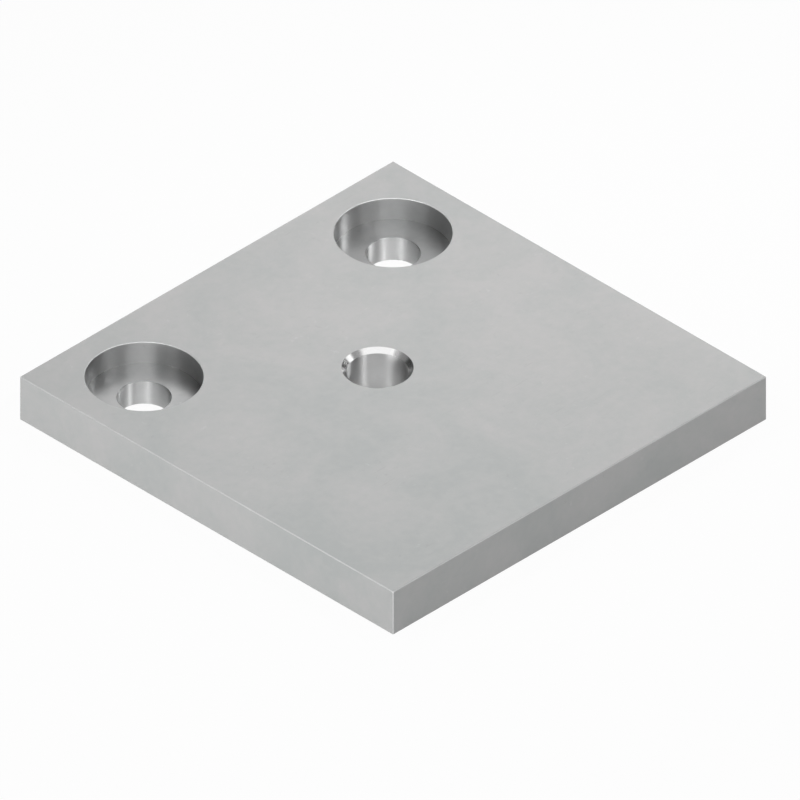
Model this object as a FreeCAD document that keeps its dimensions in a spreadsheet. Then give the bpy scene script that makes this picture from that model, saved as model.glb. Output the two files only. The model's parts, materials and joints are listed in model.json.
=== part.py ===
# Fixture base plate: one square plate of aluminium, milled on all six faces and drilled through in
# three places.
#
# Two screws hold it down, in a row along its rear edge. Each screw hole has a wide, flat-floored
# seat sunk from the top, so that the head and its washer lie below the clamping face. A single,
# larger bore stands on the centre line, in front of the screws. Its mouth is bevelled, to lead in
# the pin or stud of whatever the plate carries. The edges and the rims of the holes are deburred.
#
# Frame, in millimetres: the origin is the middle of the underside, +Z points up out of the clamping
# face, X runs along the row of screws and +Y points at the rear edge, where the screws are.
import FreeCAD
import Part
import Sketcher
import os

# The driving dimensions: name, value in millimetres or degrees, and what it is.
DIMENSIONS = [
    ("plate_length", 120.0, "side of the plate along the row of screws"),
    ("plate_width", 120.0, "side of the plate from the front edge to the rear edge"),
    ("plate_thickness", 12.0, "underside to clamping face"),
    ("edge_break", 0.2, "bevel along the twelve outside edges"),
    ("screw_end_distance", 20.0, "screw axis to the left or right edge"),
    ("screw_rear_distance", 20.0, "screw axis to the rear edge"),
    ("screw_hole_diameter", 12.4, "clearance hole for the shank of the screw"),
    ("head_seat_diameter", 27.0, "flat seat for the screw's head and washer"),
    ("head_seat_depth", 5.7, "clamping face to the floor of the seat"),
    ("bore_row_distance", 35.0, "axis of the bore to the row of screws"),
    ("bore_diameter", 14.2, "bore"),
    ("bore_bevel", 1.1, "width of the bevel at the mouth of the bore, seen from above"),
    ("bore_bevel_angle", 90.0, "angle of the bevel's cone, across its axis"),
    ("rim_break", 0.1, "bevel around the other rims of the holes"),
]

SAME = 1e-6  # millimetres: lengths that differ by less are equal

doc = FreeCAD.newDocument("fixture_base_plate")


def make_sheet():
    """The table of driving dimensions: in each row a name, its value and what it means."""
    table = doc.addObject("Spreadsheet::Sheet", "Sizes")
    for row, (name, value, meaning) in enumerate(DIMENSIONS, start=1):
        table.set(f"A{row}", name)
        table.set(f"B{row}", str(value))
        table.setAlias(f"B{row}", name)
        table.set(f"C{row}", meaning)
    doc.recompute()
    return table


def origin_plane(body, role):
    """The body's own plane of that role, such as XY_Plane."""
    for feature in body.Origin.OriginFeatures:
        if feature.Role == role:
            return feature
    raise ValueError(f"{body.Label} has no {role}")


def new_sketch(body, name, height=None):
    """An empty sketch on the underside, or parallel to it at the height that an expression gives."""
    sketch = body.newObject("Sketcher::SketchObject", name)
    sketch.AttachmentSupport = [(origin_plane(body, "XY_Plane"), "")]
    sketch.MapMode = "FlatFace"
    if height:
        sketch.setExpression("AttachmentOffset.Base.z", height)
    return sketch


def add_dimension(sketch, expression, kind, *where):
    """A dimension in the sketch whose value is an expression of the driving dimensions."""
    start_value = 1.0
    index = sketch.addConstraint(Sketcher.Constraint(kind, *where, start_value))
    sketch.setExpression(f"Constraints[{index}]", expression)


def draw_centred_rectangle(sketch, length, width):
    """A rectangle about the sketch's origin, its sides along X and Y given by expressions."""
    corners = [FreeCAD.Vector(x, y, 0) for x, y in [(-1, -1), (1, -1), (1, 1), (-1, 1)]]
    front, right, rear, left = range(4)
    for start, end in zip(corners, corners[1:] + corners[:1]):
        sketch.addGeometry(Part.LineSegment(start, end))
    for side, following in [(front, right), (right, rear), (rear, left), (left, front)]:
        sketch.addConstraint(Sketcher.Constraint("Coincident", side, 2, following, 1))
    for side in (front, rear):
        sketch.addConstraint(Sketcher.Constraint("Horizontal", side))
    for side in (right, left):
        sketch.addConstraint(Sketcher.Constraint("Vertical", side))
    sketch.addConstraint(Sketcher.Constraint("Symmetric", front, 1, rear, 1, -1, 1))
    add_dimension(sketch, length, "DistanceX", front, 1, front, 2)
    add_dimension(sketch, width, "DistanceY", right, 1, right, 2)


def draw_hole_circle(sketch, diameter, right_of_centre, behind_centre):
    """A hole's circle, its size and its place from the sketch's origin given by expressions.

    A hole that is not to the right of the centre lies on the centre line.
    """
    start = Part.Circle(FreeCAD.Vector(1, 1, 0), FreeCAD.Vector(0, 0, 1), 1.0)
    circle = sketch.addGeometry(start)
    add_dimension(sketch, diameter, "Diameter", circle)
    add_dimension(sketch, behind_centre, "DistanceY", -1, 1, circle, 3)
    if right_of_centre:
        add_dimension(sketch, right_of_centre, "DistanceX", -1, 1, circle, 3)
    else:
        sketch.addConstraint(Sketcher.Constraint("PointOnObject", circle, 3, -2))


def drill_through(body, name, sketch, diameter):
    """A plain round hole from the sketch down through the whole plate."""
    hole = body.newObject("PartDesign::Hole", name)
    hole.Profile = sketch
    doc.recompute()
    hole.ThreadType = "None"
    hole.DepthType = "ThroughAll"
    hole.setExpression("Diameter", diameter)
    return hole


def mill_blank(body):
    """The square block, with every outside edge broken."""
    outline = new_sketch(body, "outline")
    draw_centred_rectangle(outline, "Sizes.plate_length", "Sizes.plate_width")
    block = body.newObject("PartDesign::Pad", "block")
    block.Profile = outline
    block.setExpression("Length", "Sizes.plate_thickness")
    doc.recompute()

    every_edge = [f"Edge{number}" for number, _ in enumerate(block.Shape.Edges, start=1)]
    broken_edges = body.newObject("PartDesign::Chamfer", "broken_edges")
    broken_edges.Base = (block, every_edge)
    broken_edges.setExpression("Size", "Sizes.edge_break")
    doc.recompute()
    return broken_edges


def counterbore_screw_holes(body):
    """The right-hand screw hole with its seat, and its mirror image on the left."""
    place = new_sketch(body, "screw_hole_place", "Sizes.plate_thickness")
    draw_hole_circle(
        place,
        diameter="Sizes.screw_hole_diameter",
        right_of_centre="Sizes.plate_length / 2 - Sizes.screw_end_distance",
        behind_centre="Sizes.plate_width / 2 - Sizes.screw_rear_distance",
    )
    right_hole = drill_through(body, "right_screw_hole", place, "Sizes.screw_hole_diameter")
    right_hole.HoleCutType = "Counterbore"
    right_hole.HoleCutCustomValues = True
    right_hole.setExpression("HoleCutDiameter", "Sizes.head_seat_diameter")
    right_hole.setExpression("HoleCutDepth", "Sizes.head_seat_depth")
    doc.recompute()

    both_holes = body.newObject("PartDesign::Mirrored", "both_screw_holes")
    both_holes.Originals = [right_hole]
    both_holes.MirrorPlane = (origin_plane(body, "YZ_Plane"), [""])
    body.Tip = both_holes
    doc.recompute()
    return both_holes


def bore_and_bevel(body):
    """The bore on the centre line, with the bevel that leads into it."""
    place = new_sketch(body, "bore_place", "Sizes.plate_thickness")
    draw_hole_circle(
        place,
        diameter="Sizes.bore_diameter",
        right_of_centre=None,
        behind_centre="Sizes.plate_width / 2 - Sizes.screw_rear_distance - Sizes.bore_row_distance",
    )
    bore = drill_through(body, "bore", place, "Sizes.bore_diameter")
    bore.HoleCutType = "Countersink"
    bore.HoleCutCustomValues = True
    bore.setExpression("HoleCutDiameter", "Sizes.bore_diameter + 2 * Sizes.bore_bevel")
    bore.setExpression("HoleCutCountersinkAngle", "Sizes.bore_bevel_angle")
    doc.recompute()
    return bore


def rim_names(shape, diameter, height):
    """The names of the round edges of that diameter at that height above the underside."""
    names = []
    for number, edge in enumerate(shape.Edges, start=1):
        curve = edge.Curve
        if not isinstance(curve, Part.Circle):
            continue
        same_size = abs(2 * curve.Radius - diameter) < SAME
        same_height = abs(curve.Center.z - height) < SAME
        if same_size and same_height:
            names.append(f"Edge{number}")
    return names


def deburr_rims(body, drilled, sizes):
    """A small bevel around every sharp rim that the drilling left, on top and underneath."""
    seat_floor = sizes.plate_thickness - sizes.head_seat_depth
    sharp_rims = [
        (sizes.head_seat_diameter, sizes.plate_thickness),
        (sizes.screw_hole_diameter, seat_floor),
        (sizes.screw_hole_diameter, 0.0),
        (sizes.bore_diameter, 0.0),
    ]
    names = []
    for diameter, height in sharp_rims:
        names += rim_names(drilled.Shape, diameter, height)
    deburred = body.newObject("PartDesign::Chamfer", "deburred_rims")
    deburred.Base = (drilled, names)
    deburred.setExpression("Size", "Sizes.rim_break")
    doc.recompute()
    return deburred


def base_plate(sizes):
    """The plate itself: blank, screw holes, bore and deburring, in the order of the work."""
    body = doc.addObject("PartDesign::Body", "base_plate")
    body.Label = "base_plate"
    steps = [mill_blank(body)]
    steps.append(counterbore_screw_holes(body))
    steps.append(bore_and_bevel(body))
    steps.append(deburr_rims(body, steps[-1], sizes))
    for before, after in zip(steps, steps[1:]):
        if after.Shape.Volume > before.Shape.Volume - SAME:
            raise RuntimeError(f"{after.Label} took nothing away from the plate")
    return body


def check_document():
    """Stop if any feature failed."""
    for item in doc.Objects:
        if "Invalid" in item.State or "Error" in item.State:
            raise RuntimeError(f"{item.Label} failed: {item.State}")


def check_piece(body):
    """Stop if a piece is not one sound solid."""
    shape = body.Shape
    if shape.isNull() or not shape.isValid() or len(shape.Solids) != 1:
        raise RuntimeError(f"{body.Label} is not one sound solid")


sheet = make_sheet()
pieces = [base_plate(sheet)]
doc.recompute()
check_document()
for piece in pieces:
    check_piece(piece)
os.makedirs("parts", exist_ok=True)
for piece in pieces:
    piece.Shape.exportStep(f"parts/{piece.Label}.step")
    print(f"{piece.Label}: {piece.Shape.Volume / 1000:.2f} cm3, box {piece.Shape.BoundBox}")
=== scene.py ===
# A fixture base plate: one square plate of milled aluminium with two counterbored screw holes
# along its rear edge and one bevelled bore near its middle, on a pale studio floor.
import math

import bmesh
import bpy
import numpy as np
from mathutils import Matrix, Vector
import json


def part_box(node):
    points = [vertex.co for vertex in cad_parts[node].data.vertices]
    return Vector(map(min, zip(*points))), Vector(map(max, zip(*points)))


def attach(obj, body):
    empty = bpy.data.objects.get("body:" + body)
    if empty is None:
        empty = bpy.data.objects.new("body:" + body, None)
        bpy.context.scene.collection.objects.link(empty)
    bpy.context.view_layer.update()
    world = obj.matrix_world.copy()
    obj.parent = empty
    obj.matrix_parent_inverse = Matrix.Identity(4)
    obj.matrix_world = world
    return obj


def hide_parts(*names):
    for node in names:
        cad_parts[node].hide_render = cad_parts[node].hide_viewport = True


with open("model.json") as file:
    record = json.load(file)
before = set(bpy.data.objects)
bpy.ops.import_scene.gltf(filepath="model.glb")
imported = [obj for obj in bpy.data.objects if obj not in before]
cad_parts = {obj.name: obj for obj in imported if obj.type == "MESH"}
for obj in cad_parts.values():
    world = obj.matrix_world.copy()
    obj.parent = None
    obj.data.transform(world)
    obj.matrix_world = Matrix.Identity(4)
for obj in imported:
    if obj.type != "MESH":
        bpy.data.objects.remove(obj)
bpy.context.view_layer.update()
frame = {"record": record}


# Camera
# The photograph is a true isometric view with no perspective: the camera looks down over the
# plate's left front corner, level with the cube diagonal, and its scale is the same all over.
PICTURE_WIDTH = 800
PIXELS_PER_METRE = 4402.0
VIEW_AZIMUTH = math.radians(-45.0)
VIEW_ELEVATION = math.atan(1 / math.sqrt(2))
PICTURE_CENTRE_RIGHT_OF_ORIGIN = 6.9 / PIXELS_PER_METRE
PICTURE_CENTRE_ABOVE_ORIGIN = 19.6 / PIXELS_PER_METRE
CAMERA_DISTANCE = 1.5
CAMERA_REACH = 10.0


def direction(azimuth, elevation):
    """The unit vector towards a point that lies at that azimuth and elevation.

    Azimuth 0 is the side that faces -Y, and a negative one is on the left of it, in radians.
    """
    level = math.cos(elevation)
    return Vector((math.sin(azimuth) * level, -math.cos(azimuth) * level, math.sin(elevation)))


def add_camera():
    """The camera, placed so that the plate falls where the photograph has it."""
    data = bpy.data.cameras.new("camera")
    data.type = "ORTHO"
    data.ortho_scale = PICTURE_WIDTH / PIXELS_PER_METRE
    data.clip_end = CAMERA_REACH
    camera = bpy.data.objects.new("camera", data)
    bpy.context.scene.collection.objects.link(camera)
    bpy.context.scene.camera = camera
    backwards = direction(VIEW_AZIMUTH, VIEW_ELEVATION)
    turn = backwards.to_track_quat("Z", "Y")
    right = turn @ Vector((1, 0, 0))
    above = turn @ Vector((0, 1, 0))
    target = right * PICTURE_CENTRE_RIGHT_OF_ORIGIN + above * PICTURE_CENTRE_ABOVE_ORIGIN
    camera.location = target + backwards * CAMERA_DISTANCE
    camera.rotation_euler = turn.to_euler()


add_camera()


# The plate's shape
# One block of aluminium plate, milled on all faces. Its outside edges are bevelled by a few tenths
# of a millimetre, and its holes are turned surfaces that go right through. Sizes and places come
# from the CAD piece and from its mounts, so the surface here lies on the solid.
EDGE_BREAK = 0.0002  # the bevel along each outside edge
RIM_BREAK = 0.0001  # the bevel round each rim of a hole
MILLIMETRE = 0.001
SAME_POINT = 1e-7  # points nearer than this are merged
SHARP_ANGLE = math.radians(30)  # where faces meet at more, the shading has an edge

low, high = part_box("base_plate")
top = high.z
mounts = {mount["name"]: mount for mount in frame["record"]["mounts"]}


def bore_radius(name):
    """The wall radius of a bore that the record states."""
    return mounts[name]["dims"]["r_mm"] * MILLIMETRE


def bore_length(name):
    """The length of its wall."""
    return mounts[name]["dims"]["length_mm"] * MILLIMETRE


def bore_centre(name):
    """The place of its axis."""
    return np.array(mounts[name]["pos_m"][:2])


SCREW_RADIUS = bore_radius("left_screw_hole")
SEAT_RADIUS = bore_radius("left_head_seat")
SEAT_FLOOR = top - RIM_BREAK - bore_length("left_head_seat")
BORE_RADIUS = bore_radius("centre_bore")
BORE_BEVEL = top - RIM_BREAK - bore_length("centre_bore")

# Half the side of the square tile in which each hole lies, how many steps go along its side, how
# many rings lie between the hole and its sides, and the angle of the corner where circles start.
SEAT_TILE = 0.0165
BORE_TILE = 0.0105
SEAT_STEPS = 48
BORE_STEPS = 48
TILE_RINGS = 3
FRONT_LEFT_CORNER = np.radians(-135)

# The finishes, in the order of the material slots.
FACE, EDGE, SEAT_WALL, SEAT_BOTTOM, HOLE, BORE, BEVEL = range(7)


def steps_between(stops, counts):
    """Positions from the first stop to the last, with that many equal steps between each pair."""
    spans = zip(stops, stops[1:], counts)
    runs = [np.linspace(start, end, count, endpoint=False) for start, end, count in spans]
    return np.concatenate(runs + [stops[-1:]])


left_x, rear_y = bore_centre("left_screw_hole")
right_x = bore_centre("right_screw_hole")[0]
bore_x, bore_y = bore_centre("centre_bore")

# Where the spacing of a face's grid changes, from left to right and from front to rear, and how
# many steps lie between each pair of those stops. The tiles lie between the stops beside a hole.
X_STOPS = [
    low.x + EDGE_BREAK,
    left_x - SEAT_TILE,
    left_x + SEAT_TILE,
    bore_x - BORE_TILE,
    bore_x + BORE_TILE,
    right_x - SEAT_TILE,
    right_x + SEAT_TILE,
    high.x - EDGE_BREAK,
]
X_COUNTS = [1, SEAT_STEPS, 3, BORE_STEPS, 3, SEAT_STEPS, 1]
Y_STOPS = [
    low.y + EDGE_BREAK,
    bore_y - BORE_TILE,
    bore_y + BORE_TILE,
    rear_y - SEAT_TILE,
    rear_y + SEAT_TILE,
    high.y - EDGE_BREAK,
]
Y_COUNTS = [8, BORE_STEPS, 2, SEAT_STEPS, 1]

patches = []  # each is a grid of points, a grid of UV places and a finish


def add_patch(points, along, across, finish):
    """Keeps a grid of points whose UV place is (along, across), in metres on the surface."""
    u, v = np.broadcast_arrays(along, across)
    patches.append((points, np.stack([u, v], axis=-1), finish))


def angles_round(steps):
    """Even angles from the tile's first corner all the way round, that many for each side."""
    return FRONT_LEFT_CORNER + np.linspace(0, 2 * np.pi, 4 * steps + 1)


def flat_patch(x, y, height, upwards):
    """A level rectangle: point (i, j) is at x[i], y[j]. It faces up, or down with x reversed."""
    if not upwards:
        x = x[::-1]
    grid_x, grid_y = np.meshgrid(x, y, indexing="ij")
    points = np.stack([grid_x, grid_y, np.full_like(grid_x, height)], axis=-1)
    add_patch(points, grid_x, grid_y, FACE)


def holed_tile(centre, half_side, steps, radius, height, upwards):
    """A level square with a round hole: point (i, j) is the share i of the way from the circle.

    The circle's points are at even angles from one corner round, and the square's points are at
    even steps along its sides, so that they meet the rectangles beside it.
    """
    angles = angles_round(steps)
    circle = radius * np.stack([np.cos(angles), np.sin(angles)], axis=-1)
    along = np.linspace(-half_side, half_side, steps + 1)[:-1]
    side = np.full(steps, half_side)
    corner = np.array([[-half_side, -half_side]])
    sides = [(along, -side), (side, along), (-along, side), (-side, -along)]
    square = np.concatenate([np.stack(pair, axis=-1) for pair in sides] + [corner])
    share = np.linspace(0, 1, TILE_RINGS + 1)[:, None, None]
    level = centre + circle * (1 - share) + square * share
    if not upwards:
        level = level[:, ::-1]
    points = np.concatenate([level, np.full(level.shape[:2] + (1,), height)], axis=-1)
    add_patch(points, points[..., 0], points[..., 1], FACE)


def turned_patch(profile, centre, steps, finish):
    """A surface of revolution: point (i, j) is at profile[i] = (radius, height), turned to angle j.

    The profile runs from the top down, so the surface faces the axis. U runs along the profile and
    V around the axis, which is the way a cutting tool goes round in a hole.
    """
    radius, height = np.array(profile).T
    angles = angles_round(steps)
    x = centre[0] + radius[:, None] * np.cos(angles)
    y = centre[1] + radius[:, None] * np.sin(angles)
    z = np.broadcast_to(height[:, None], x.shape)
    steps_down = np.hypot(np.diff(radius), np.diff(height))
    along = np.concatenate([[0], np.cumsum(steps_down)])[:, None]
    points = np.stack([x, y, z], axis=-1)
    add_patch(points, along, radius.max() * angles, finish)


def add_face(height, upwards, seat_rim, bore_rim):
    """The top or the underside: holed tiles at the holes, and rectangles everywhere else.

    The rims are the radii of the seats' holes and of the bore's hole in that face.
    """
    x_ends = np.cumsum([0] + X_COUNTS)
    y_ends = np.cumsum([0] + Y_COUNTS)
    x = steps_between(X_STOPS, X_COUNTS)
    y = steps_between(Y_STOPS, Y_COUNTS)
    # By column and row of the tile: the axis, the tile's half side and steps, the hole's radius.
    holes = {
        (1, 3): ((left_x, rear_y), SEAT_TILE, SEAT_STEPS, seat_rim),
        (5, 3): ((right_x, rear_y), SEAT_TILE, SEAT_STEPS, seat_rim),
        (3, 1): ((bore_x, bore_y), BORE_TILE, BORE_STEPS, bore_rim),
    }
    for column, row in np.ndindex(len(X_COUNTS), len(Y_COUNTS)):
        if (column, row) in holes:
            centre, half_side, steps, rim = holes[column, row]
            holed_tile(np.array(centre), half_side, steps, rim, height, upwards)
            continue
        cell_x = x[x_ends[column]:x_ends[column + 1] + 1]
        cell_y = y[y_ends[row]:y_ends[row + 1] + 1]
        flat_patch(cell_x, cell_y, height, upwards)


def add_sides():
    """The plate's four sides, each a profile carried along it, and the four corners.

    The profile runs from the top face over the bevel, down the side and under the lower bevel.
    """
    half = high.x
    inset = half - EDGE_BREAK
    x = steps_between(X_STOPS, X_COUNTS)
    y = steps_between(Y_STOPS, Y_COUNTS)
    heights = np.array([top, top - EDGE_BREAK, EDGE_BREAK, 0.0])
    reach = np.array([inset, half, half, inset])
    for quarter, along in enumerate([x, y, -x[::-1], -y[::-1]]):
        turn = quarter * np.pi / 2
        side = np.array([np.cos(turn), np.sin(turn), 0])
        outwards = np.array([np.sin(turn), -np.cos(turn), 0])
        up = np.array([0, 0, 1])
        points = (
            along[None, :, None] * side
            + reach[:, None, None] * outwards
            + heights[:, None, None] * up
        )
        down = (top - heights)[:, None]
        add_patch(points[0:2], down[0:2], along[None, :], EDGE)
        add_patch(points[1:3], down[1:3], along[None, :], FACE)
        add_patch(points[2:4], down[2:4], along[None, :], EDGE)
        this_side = inset * side + reach[:, None] * outwards
        next_side = reach[:, None] * side + inset * outwards
        corner = np.stack([this_side, next_side], axis=1) + heights[:, None, None] * up
        add_patch(corner, down, np.array([[0, EDGE_BREAK]]), EDGE)


def build_mesh(name):
    """One closed mesh of all the patches, with the points that they share merged."""
    vertices = np.concatenate([points.reshape(-1, 3) for points, _, _ in patches])
    places = np.concatenate([uv.reshape(-1, 2) for _, uv, _ in patches])
    corners = []
    finishes = []
    start = 0
    for points, _, finish in patches:
        rows, columns = points.shape[:2]
        index = start + np.arange(rows * columns).reshape(rows, columns)
        quads = [index[:-1, :-1], index[1:, :-1], index[1:, 1:], index[:-1, 1:]]
        quads = np.stack(quads, axis=-1).reshape(-1, 4)
        corners.append(quads)
        finishes.append(np.full(len(quads), finish))
        start += rows * columns
    corners = np.concatenate(corners)
    mesh = bpy.data.meshes.new(name)
    mesh.from_pydata(vertices, [], corners)
    mesh.polygons.foreach_set("material_index", np.concatenate(finishes).astype(np.int32))
    uv_map = mesh.uv_layers.new(name="surface")
    uv_map.data.foreach_set("uv", places[corners.ravel()].astype(np.float32).ravel())
    work = bmesh.new()
    work.from_mesh(mesh)
    bmesh.ops.remove_doubles(work, verts=work.verts, dist=SAME_POINT)
    bmesh.ops.recalc_face_normals(work, faces=work.faces)
    work.to_mesh(mesh)
    work.free()
    mesh.shade_smooth()
    mesh.set_sharp_from_angle(angle=SHARP_ANGLE)
    return mesh


add_face(top, True, SEAT_RADIUS + RIM_BREAK, BORE_RADIUS + BORE_BEVEL)
add_face(0.0, False, SCREW_RADIUS + RIM_BREAK, BORE_RADIUS + RIM_BREAK)
add_sides()

for centre in [(left_x, rear_y), (right_x, rear_y)]:
    seat_rim = [(SEAT_RADIUS + RIM_BREAK, top), (SEAT_RADIUS, top - RIM_BREAK)]
    seat_wall = [(SEAT_RADIUS, top - RIM_BREAK), (SEAT_RADIUS, SEAT_FLOOR)]
    seat_floor = [(SEAT_RADIUS, SEAT_FLOOR), (SCREW_RADIUS + RIM_BREAK, SEAT_FLOOR)]
    hole_rim = [(SCREW_RADIUS + RIM_BREAK, SEAT_FLOOR), (SCREW_RADIUS, SEAT_FLOOR - RIM_BREAK)]
    hole_wall = [(SCREW_RADIUS, SEAT_FLOOR - RIM_BREAK), (SCREW_RADIUS, RIM_BREAK)]
    lower_rim = [(SCREW_RADIUS, RIM_BREAK), (SCREW_RADIUS + RIM_BREAK, 0.0)]
    turned_patch(seat_rim, centre, SEAT_STEPS, EDGE)
    turned_patch(seat_wall, centre, SEAT_STEPS, SEAT_WALL)
    # The seat floors and the screw holes' upper rims take the darker floor tone, which is painted
    # shade.
    for profile in (seat_floor, hole_rim):
        turned_patch(profile, centre, SEAT_STEPS, SEAT_BOTTOM)
    for profile in (hole_wall, lower_rim):
        turned_patch(profile, centre, SEAT_STEPS, HOLE)

bore_mouth = [(BORE_RADIUS + BORE_BEVEL, top), (BORE_RADIUS, top - BORE_BEVEL)]
bore_wall = [(BORE_RADIUS, top - BORE_BEVEL), (BORE_RADIUS, RIM_BREAK)]
bore_lower_rim = [(BORE_RADIUS, RIM_BREAK), (BORE_RADIUS + RIM_BREAK, 0.0)]
turned_patch(bore_mouth, (bore_x, bore_y), BORE_STEPS, BEVEL)
turned_patch(bore_wall, (bore_x, bore_y), BORE_STEPS, BORE)
turned_patch(bore_lower_rim, (bore_x, bore_y), BORE_STEPS, BORE)

plate = bpy.data.objects.new("milled_base_plate", build_mesh("milled_base_plate"))
bpy.context.scene.collection.objects.link(plate)
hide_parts("base_plate")
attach(plate, "root")


# The plate's finish
# The faces are fine milled: a matte, faintly cloudy skin with a few pits, nicks and hairlines, and
# a painted gradient of light and shade, lighter towards the rear right corner. Edges and rims are
# filed, and their lighter tone is partly painted highlight. The seats are turned with faced floors
# whose darker tone is painted shade, the screw holes drilled and the bore reamed, and the bevel at
# its mouth is left bright. All of it is the same bare aluminium.
WORN_AREA_SCALE = 55.0
FLECK_SCALE = 520.0
HAIRLINE_TURN = math.radians(25)
HAIRLINE_SCALE = (180, 2600, 900)  # long along their own direction and fine across it
PAINTED_LIGHT_DIRECTION = (0.8, 0.6, 0)  # towards the rear right corner, where painted light makes the skin lighter
CLOUD_SHARE = 0.6  # of the mottle; the rest is fine grain
BUMP_STRENGTH = 0.4


def cloudy_metal_group():
    """A node group: cloudy patches, small flecks and hairlines, on Object coordinates.

    Colour goes from the dark to the light tone with the clouds and the finer grain, and by the
    painted light drift, a painted gradient of light and shade from one corner of the plate to the
    other. Pits and hairlines, which lie in worn areas, darken it, and small nicks there lighten it.
    Roughness falls where the colour is lighter. Relief is the fine grain, less the pits and
    hairlines.
    """
    group = bpy.data.node_groups.new("cloudy_metal", "ShaderNodeTree")
    for name, kind, value in [
        ("Light Tone", "NodeSocketColor", (0.5, 0.5, 0.5, 1)),
        ("Dark Tone", "NodeSocketColor", (0.4, 0.4, 0.4, 1)),
        ("Cloud Scale", "NodeSocketFloat", 45.0),
        ("Grain Scale", "NodeSocketFloat", 400.0),
        ("Drift", "NodeSocketFloat", 0.0),
        ("Marks", "NodeSocketFloat", 0.1),
        ("Smoothest", "NodeSocketFloat", 0.4),
        ("Roughest", "NodeSocketFloat", 0.6),
    ]:
        socket = group.interface.new_socket(name=name, in_out="INPUT", socket_type=kind)
        socket.default_value = value
    for name, kind in [
        ("Colour", "NodeSocketColor"),
        ("Roughness", "NodeSocketFloat"),
        ("Relief", "NodeSocketFloat"),
    ]:
        group.interface.new_socket(name=name, in_out="OUTPUT", socket_type=kind)
    nodes, links = group.nodes, group.links
    inputs = nodes.new("NodeGroupInput")
    outputs = nodes.new("NodeGroupOutput")
    place = nodes.new("ShaderNodeTexCoord")

    def noise(scale, detail, roughness, distortion=0.0, vector=None):
        """A noise of values about 0.5. The scale is a number or the name of an input."""
        node = nodes.new("ShaderNodeTexNoise")
        node.inputs["Detail"].default_value = detail
        node.inputs["Roughness"].default_value = roughness
        node.inputs["Distortion"].default_value = distortion
        if isinstance(scale, str):
            links.new(inputs.outputs[scale], node.inputs["Scale"])
        else:
            node.inputs["Scale"].default_value = scale
        links.new(vector or place.outputs["Object"], node.inputs["Vector"])
        return node.outputs["Fac"]

    def ramp(value, start, end):
        """The share of the way from the start to the end, between 0 and 1."""
        node = nodes.new("ShaderNodeMapRange")
        node.inputs["From Min"].default_value = start
        node.inputs["From Max"].default_value = end
        links.new(value, node.inputs["Value"])
        return node.outputs["Result"]

    def combine(operation, first, second):
        """A sum, product, difference or the larger of two values, each a socket or a number."""
        node = nodes.new("ShaderNodeMath")
        node.operation = operation
        for socket, value in zip(node.inputs, (first, second)):
            if isinstance(value, (int, float)):
                socket.default_value = value
            else:
                links.new(value, socket)
        return node.outputs["Value"]

    cloud_noise = noise("Cloud Scale", detail=5.0, roughness=0.6, distortion=0.8)
    grain_noise = noise("Grain Scale", detail=3.0, roughness=0.65)
    worn_noise = noise(WORN_AREA_SCALE, detail=3.0, roughness=0.6)
    fleck_noise = noise(FLECK_SCALE, detail=2.0, roughness=0.6, distortion=0.5)
    drawn_out = nodes.new("ShaderNodeMapping")
    drawn_out.inputs["Rotation"].default_value = (0, 0, HAIRLINE_TURN)
    drawn_out.inputs["Scale"].default_value = HAIRLINE_SCALE
    links.new(place.outputs["Object"], drawn_out.inputs["Vector"])
    long_way = drawn_out.outputs["Vector"]
    line_noise = noise(1.0, detail=1.0, roughness=0.4, distortion=0.3, vector=long_way)

    clouds = ramp(cloud_noise, 0.36, 0.64)
    grain = ramp(grain_noise, 0.3, 0.7)
    worn_areas = ramp(worn_noise, 0.42, 0.62)
    pits = ramp(fleck_noise, 0.64, 0.74)
    nicks = ramp(fleck_noise, 0.34, 0.24)
    hairlines = ramp(line_noise, 0.70, 0.76)
    marks = combine("MULTIPLY", combine("MAXIMUM", pits, hairlines), worn_areas)
    bright_marks = combine("MULTIPLY", nicks, worn_areas)

    # Painted light: a gradient across the plate, lighter towards the rear right corner and darker
    # towards the front left, as the light falls.
    across = nodes.new("ShaderNodeVectorMath")
    across.operation = "DOT_PRODUCT"
    across.inputs[1].default_value = PAINTED_LIGHT_DIRECTION
    links.new(place.outputs["Object"], across.inputs[0])
    painted_light_drift = combine("MULTIPLY", across.outputs["Value"], inputs.outputs["Drift"])
    cloud_part = combine("MULTIPLY", clouds, CLOUD_SHARE)
    grain_part = combine("MULTIPLY", grain, 1 - CLOUD_SHARE)
    share = combine("ADD", combine("ADD", cloud_part, grain_part), painted_light_drift)
    tone = nodes.new("ShaderNodeMixRGB")
    links.new(share, tone.inputs["Fac"])
    links.new(inputs.outputs["Dark Tone"], tone.inputs["Color1"])
    links.new(inputs.outputs["Light Tone"], tone.inputs["Color2"])
    worn = nodes.new("ShaderNodeMixRGB")
    worn.blend_type = "MULTIPLY"
    worn.inputs["Color2"].default_value = (0, 0, 0, 1)
    links.new(combine("MULTIPLY", marks, inputs.outputs["Marks"]), worn.inputs["Fac"])
    links.new(tone.outputs["Color"], worn.inputs["Color1"])
    nicked = nodes.new("ShaderNodeMixRGB")
    nicked.inputs["Color2"].default_value = (1, 1, 1, 1)
    links.new(combine("MULTIPLY", bright_marks, inputs.outputs["Marks"]), nicked.inputs["Fac"])
    links.new(worn.outputs["Color"], nicked.inputs["Color1"])
    links.new(nicked.outputs["Color"], outputs.inputs["Colour"])

    roughness = nodes.new("ShaderNodeMapRange")
    links.new(share, roughness.inputs["Value"])
    links.new(inputs.outputs["Roughest"], roughness.inputs["To Min"])
    links.new(inputs.outputs["Smoothest"], roughness.inputs["To Max"])
    links.new(roughness.outputs["Result"], outputs.inputs["Roughness"])
    links.new(combine("SUBTRACT", grain, marks), outputs.inputs["Relief"])
    return group


CLOUDY_METAL = cloudy_metal_group()


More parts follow.
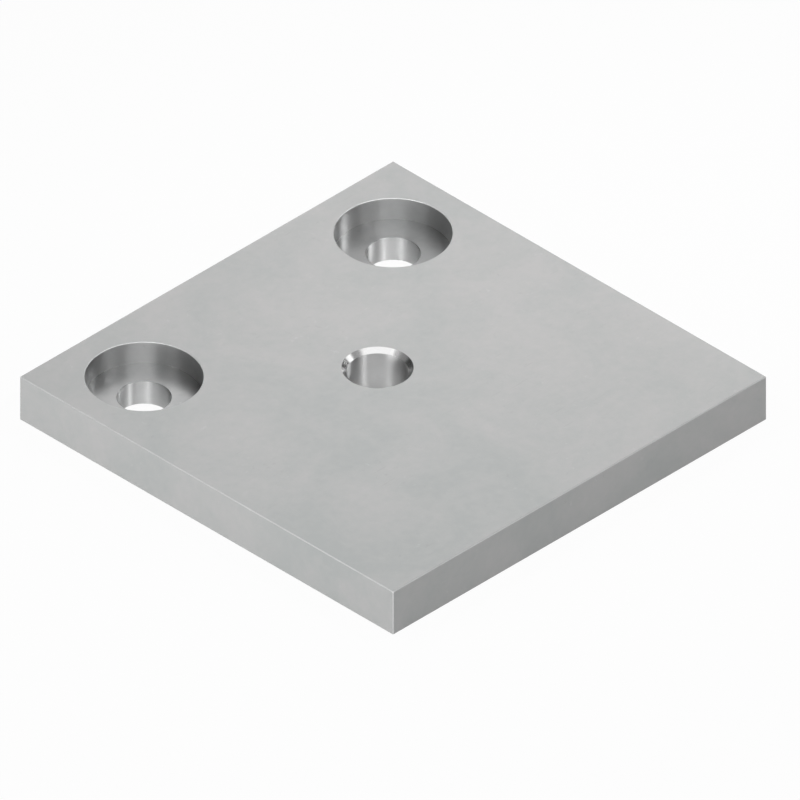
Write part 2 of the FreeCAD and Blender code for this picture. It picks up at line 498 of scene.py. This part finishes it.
def metal(name, tones, scales, marks, roughness, metallic, relief, stretch=0.0, painted_light_drift=0.0):
    """A metal finish: the cloudy group's colour and roughness, and its relief through a bump.

    Each pair goes from the lighter, larger or smoother to the darker, finer or rougher. A finish
    that is stretched has its highlights drawn out along the profile, across the tool's rings.
    """
    material = bpy.data.materials.new(name)
    material.use_nodes = True
    nodes, links = material.node_tree.nodes, material.node_tree.links
    shader = nodes["Principled BSDF"]
    shader.inputs["Metallic"].default_value = metallic
    skin = nodes.new("ShaderNodeGroup")
    skin.node_tree = CLOUDY_METAL
    for socket, tone in zip(("Light Tone", "Dark Tone"), tones):
        skin.inputs[socket].default_value = (*tone, 1)
    for socket, scale in zip(("Cloud Scale", "Grain Scale"), scales):
        skin.inputs[socket].default_value = scale
    for socket, value in zip(("Smoothest", "Roughest"), roughness):
        skin.inputs[socket].default_value = value
    skin.inputs["Marks"].default_value = marks
    skin.inputs["Drift"].default_value = painted_light_drift
    links.new(skin.outputs["Colour"], shader.inputs["Base Color"])
    links.new(skin.outputs["Roughness"], shader.inputs["Roughness"])
    bump = nodes.new("ShaderNodeBump")
    bump.inputs["Strength"].default_value = BUMP_STRENGTH
    bump.inputs["Distance"].default_value = relief
    links.new(skin.outputs["Relief"], bump.inputs["Height"])
    links.new(bump.outputs["Normal"], shader.inputs["Normal"])
    if stretch:
        shader.inputs["Anisotropic"].default_value = stretch
        profile_way = nodes.new("ShaderNodeTangent")
        profile_way.direction_type = "UV_MAP"
        profile_way.uv_map = "surface"
        links.new(profile_way.outputs["Tangent"], shader.inputs["Tangent"])
    return material


milled = metal(
    "milled_face",
    tones=[(0.400, 0.396, 0.395), (0.359, 0.371, 0.368)],
    scales=[45.0, 400.0],
    marks=0.06,
    roughness=[0.6, 0.75],
    metallic=0.22,
    relief=2e-6,
    # Painted light: the milled faces drift lighter to the rear right and darker to the front left.
    painted_light_drift=3.0,
)
# The edges' and rims' lighter tone is partly the filed surface and partly painted highlight.
filed_and_highlit = metal(
    "filed_edge",
    tones=[(0.60, 0.60, 0.60), (0.55, 0.56, 0.56)],
    scales=[90.0, 500.0],
    marks=0.06,
    roughness=[0.4, 0.5],
    metallic=0.6,
    relief=0.0,
)
turned = metal(
    "turned_seat",
    tones=[(0.61, 0.61, 0.61), (0.55, 0.555, 0.555)],
    scales=[90.0, 500.0],
    marks=0.1,
    roughness=[0.28, 0.32],
    metallic=1.0,
    relief=2e-6,
)
# The seat floors' darker tone is painted shade in the recesses.
faced_and_shaded = metal(
    "faced_seat_floor",
    tones=[(0.30, 0.30, 0.30), (0.265, 0.27, 0.27)],
    scales=[90.0, 500.0],
    marks=0.1,
    roughness=[0.30, 0.34],
    metallic=1.0,
    relief=2e-6,
)
drilled = metal(
    "drilled_wall",
    tones=[(0.72, 0.72, 0.72), (0.66, 0.67, 0.67)],
    scales=[120.0, 500.0],
    marks=0.0,
    roughness=[0.52, 0.56],
    metallic=1.0,
    relief=0.0,
    stretch=1.0,
)
reamed = metal(
    "reamed_wall",
    tones=[(0.62, 0.62, 0.62), (0.565, 0.57, 0.57)],
    scales=[120.0, 500.0],
    marks=0.0,
    roughness=[0.52, 0.56],
    metallic=1.0,
    relief=0.0,
    stretch=1.0,
)
bare = metal(
    "bare_bevel",
    tones=[(0.80, 0.80, 0.80), (0.76, 0.76, 0.76)],
    scales=[120.0, 500.0],
    marks=0.0,
    roughness=[0.16, 0.20],
    metallic=1.0,
    relief=0.0,
)
for finish in (milled, filed_and_highlit, turned, faced_and_shaded, drilled, reamed, bare):
    plate.data.materials.append(finish)


# Floor and light
# A pale floor that keeps a faint shadow, and plain soft light: low boxes beside the two front
# sides, wide ones behind the camera and at the back, weak fills at both sides, and small lamps that
# put streaks in the holes.
FLOOR_SIZE = 20.0
FLOOR_THICKNESS = 1.0
FLOOR_PAINT = 0.5  # its grey where light bounces off it
FLOOR_WHITENESS = 0.96  # the share of plain white that the camera and reflections see
SKY_BRIGHTNESS = 0.05


def add_floor():
    """A level slab that the camera and the metal see as nearly white.

    That white is only seen and lights nothing, so the floor isn't sampled as a lamp.
    """
    work = bmesh.new()
    bmesh.ops.create_cube(work, size=1.0)
    bmesh.ops.scale(work, verts=work.verts, vec=(FLOOR_SIZE, FLOOR_SIZE, FLOOR_THICKNESS))
    bmesh.ops.translate(work, verts=work.verts, vec=(0, 0, -FLOOR_THICKNESS / 2))
    mesh = bpy.data.meshes.new("floor")
    work.to_mesh(mesh)
    work.free()
    floor = bpy.data.objects.new("floor", mesh)
    bpy.context.scene.collection.objects.link(floor)
    material = bpy.data.materials.new("pale_floor")
    material.use_nodes = True
    material.cycles.emission_sampling = "NONE"
    nodes, links = material.node_tree.nodes, material.node_tree.links
    nodes.clear()
    paint = nodes.new("ShaderNodeBsdfDiffuse")
    paint.inputs["Color"].default_value = (FLOOR_PAINT, FLOOR_PAINT, FLOOR_PAINT, 1)
    white = nodes.new("ShaderNodeEmission")
    white.inputs["Strength"].default_value = 1.0
    rays = nodes.new("ShaderNodeLightPath")
    seen = rays.outputs["Is Camera Ray"]
    for kind in ("Is Glossy Ray", "Is Transmission Ray"):
        either = nodes.new("ShaderNodeMath")
        either.operation = "MAXIMUM"
        links.new(seen, either.inputs[0])
        links.new(rays.outputs[kind], either.inputs[1])
        seen = either.outputs["Value"]
    share = nodes.new("ShaderNodeMath")
    share.operation = "MULTIPLY"
    share.inputs[1].default_value = FLOOR_WHITENESS
    links.new(seen, share.inputs[0])
    mix = nodes.new("ShaderNodeMixShader")
    links.new(share.outputs["Value"], mix.inputs[0])
    links.new(paint.outputs["BSDF"], mix.inputs[1])
    links.new(white.outputs["Emission"], mix.inputs[2])
    output = nodes.new("ShaderNodeOutputMaterial")
    links.new(mix.outputs["Shader"], output.inputs["Surface"])
    floor.data.materials.append(material)


def add_lamp(name, place, width, height, power, aim):
    """A rectangular soft light at a place given as azimuth, elevation and distance from its aim."""
    azimuth, elevation, distance = place
    data = bpy.data.lights.new(name, "AREA")
    data.shape = "RECTANGLE"
    data.size = width
    data.size_y = height
    data.energy = power
    lamp = bpy.data.objects.new(name, data)
    bpy.context.scene.collection.objects.link(lamp)
    towards = direction(math.radians(azimuth), math.radians(elevation))
    lamp.location = Vector(aim) + towards * distance
    lamp.rotation_euler = towards.to_track_quat("Z", "Y").to_euler()
    lamp.visible_camera = False


def add_sky(brightness):
    """A plain grey sky."""
    world = bpy.data.worlds.new("studio")
    bpy.context.scene.world = world
    world.use_nodes = True
    sky = world.node_tree.nodes["Background"]
    sky.inputs["Color"].default_value = (1, 1, 1, 1)
    sky.inputs["Strength"].default_value = brightness


# What the lamps aim at: the middle of the plate's underside, a point just off the middle of each
# front side, and the mouths of the right seat and the bore.
MIDDLE = (0, 0, 0)
LEFT_SIDE = (low.x, 0.01, top / 2)
FRONT_SIDE = (-0.03, low.y, top / 2)
RIGHT_SEAT = (right_x, rear_y, top)
BORE_MOUTH = (bore_x, bore_y, top)

# Each lamp: its azimuth and elevation in degrees and its distance, its width and height, its power
# in watts and its aim.
LAMPS = {
    "left_level_box": ((-100, 8, 0.4), 0.3, 0.1, 1.15, LEFT_SIDE),
    "front_level_box": ((0, 8, 0.35), 0.15, 0.1, 0.17, FRONT_SIDE),
    "front_box": ((-45, 54, 0.6), 1.75, 0.3, 1.75, MIDDLE),
    "camera_box": ((-43, 36, 0.8), 0.75, 0.25, 1.8, MIDDLE),
    "right_fill": ((40, 35, 0.8), 0.6, 0.3, 0.15, MIDDLE),
    "left_fill": ((-140, 35, 0.8), 0.5, 0.3, 0.09, MIDDLE),
    "left_high_fill": ((-128, 50, 0.8), 0.5, 0.3, 0.18, MIDDLE),
    "back_box": ((135, 24, 0.5), 0.31, 0.2, 0.21, MIDDLE),
    "far_back_box": ((135, 35, 1.2), 0.7, 0.4, 0.14, MIDDLE),
    "rear_overhead": ((143, 52, 0.18), 0.12, 0.12, 0.086, MIDDLE),
    "right_overhead": ((31, 64.7, 0.29), 0.02, 0.02, 0.23, MIDDLE),
    "left_overhead": ((-118.3, 68.3, 0.282), 0.035, 0.035, 0.2, MIDDLE),
    "seat_strip": ((70, 35, 0.17), 0.03, 0.075, 0.068, RIGHT_SEAT),
    "bore_strip": ((63, 28, 0.17), 0.05, 0.05, 0.009, BORE_MOUTH),
}

add_floor()
for name, settings in LAMPS.items():
    add_lamp(name, *settings)
add_sky(SKY_BRIGHTNESS)
bpy.context.scene.view_settings.view_transform = "Standard"
